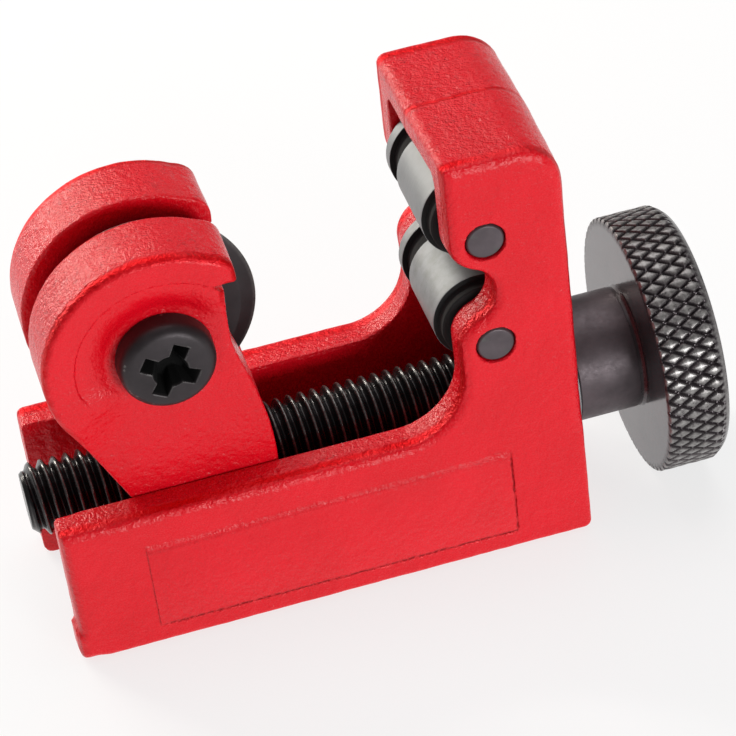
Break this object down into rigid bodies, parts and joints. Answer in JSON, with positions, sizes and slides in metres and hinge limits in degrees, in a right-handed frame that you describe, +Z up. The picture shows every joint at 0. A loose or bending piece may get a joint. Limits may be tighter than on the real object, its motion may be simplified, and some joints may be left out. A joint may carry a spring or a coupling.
{
  "type": "tube cutter",
  "caption": "Compact screw-feed pipe cutter: cast U frame with paired rollers in its head, and a sliding carriage with a cutting wheel moved by a knurled knob.",
  "frame": {"origin": "middle of the flat underside of the frame's base", "axes": "+X along the feed screw towards the knob, +Y across the tool away from the axle-screw head, +Z up from the base towards the rollers"},
  "size_m": [0.0547, 0.0208, 0.0375],
  "materials": {
    "cast_red_frame": "satin enamel with a fine cast grain",
    "cast_red_slide": "satin enamel with a fine cast grain",
    "roller_steel": "ground satin",
    "pin_black": "black oxide, satin",
    "screw_black": "black oxide, oiled gloss",
    "knob_black": "black oxide, satin",
    "wheel_steel": "dark tempered steel",
    "washer_steel": "dull grey"
  },
  "bodies": {
    "frame": {"frame_body": "cast_red_frame", "roller_pin_upper": "pin_black", "roller_pin_lower": "pin_black", "inner_thrust_washer": "washer_steel"},
    "drive": {"feed_screw": "screw_black", "knob_sleeve": "knob_black", "knob_wheel": "knob_black", "outer_thrust_washer": "washer_steel", "retaining_clip": "washer_steel"},
    "slide": {"slide_carriage": "cast_red_slide", "wheel_axle_screw": "pin_black"},
    "wheel": {"cutting_wheel": "wheel_steel"},
    "upper_roller": {"roller_upper": "roller_steel"},
    "lower_roller": {"roller_lower": "roller_steel"}
  },
  "joints": [
    {"name": "slide_feed", "type": "slide", "parent": "frame", "child": "slide", "axis": [1, 0, 0], "range_m": [-0.0027, 0.0129]},
    {"name": "knob_turn", "type": "hinge", "parent": "frame", "child": "drive", "pos_m": [0, 0, 0.0105], "axis": [1, 0, 0], "range_deg": [-4645, 973]},
    {"name": "wheel_spin", "type": "hinge", "parent": "slide", "child": "wheel", "pos_m": [-0.0101, 0, 0.0254], "axis": [0, 1, 0], "continuous": true},
    {"name": "upper_roller_spin", "type": "hinge", "parent": "frame", "child": "upper_roller", "pos_m": [0.0144, 0, 0.0302], "axis": [0, 1, 0], "continuous": true},
    {"name": "lower_roller_spin", "type": "hinge", "parent": "frame", "child": "lower_roller", "pos_m": [0.0144, 0, 0.0206], "axis": [0, 1, 0], "continuous": true}
  ],
  "couplings": [
    {"joint": "knob_turn", "follows": "slide_feed", "rad_per_m": -6283.2}
  ]
}
